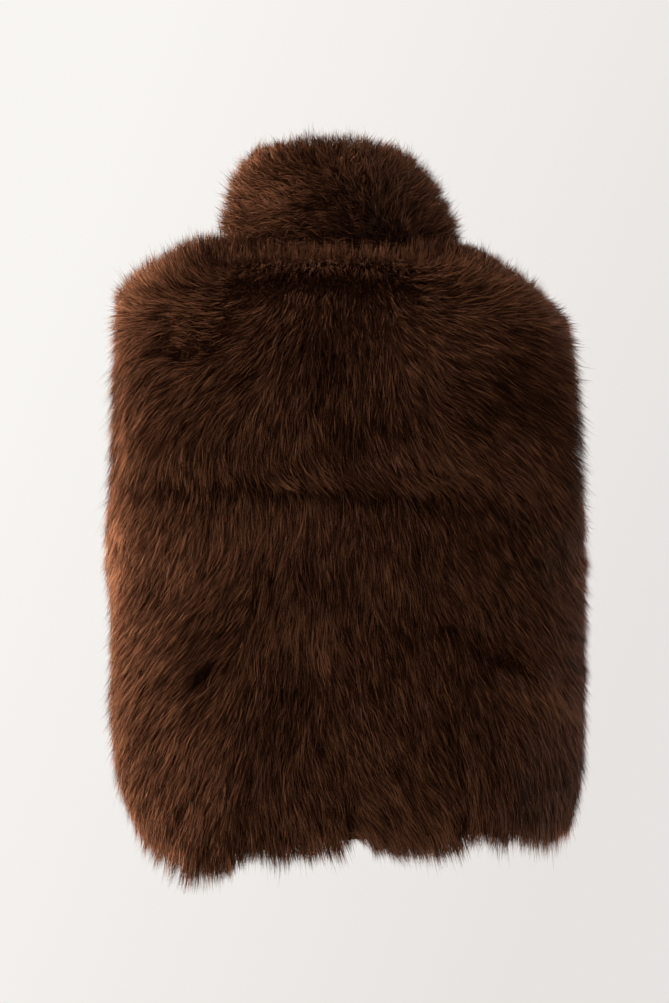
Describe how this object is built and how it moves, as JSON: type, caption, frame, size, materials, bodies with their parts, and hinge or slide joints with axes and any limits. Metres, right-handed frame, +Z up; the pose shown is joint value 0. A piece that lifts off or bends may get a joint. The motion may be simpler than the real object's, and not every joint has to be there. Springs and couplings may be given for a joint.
{
  "type": "sleeveless faux fur cape",
  "caption": "Hip-length sleeveless faux fur cape-vest with a stand collar, open armholes and an edge-to-edge front, in its worn form.",
  "frame": {"origin": "middle of the neck seam's ring, at the height of the neck points of the shoulder seams, where the wearer's neck and shoulders carry the garment", "axes": "+Z up; +Y out of the garment's back, so the fronts face -Y; +X towards the wearer's left"},
  "size_m": [0.4531, 0.2857, 0.6781],
  "materials": {
    "fur": "long soft faux fur pile, dark chestnut brown with reddish tips",
    "backing": "plain matt knitted backing, dark brown"
  },
  "bodies": {
    "root": {"back": "fur", "front_left": "fur", "front_right": "fur", "collar": "fur"}
  },
  "joints": []
}
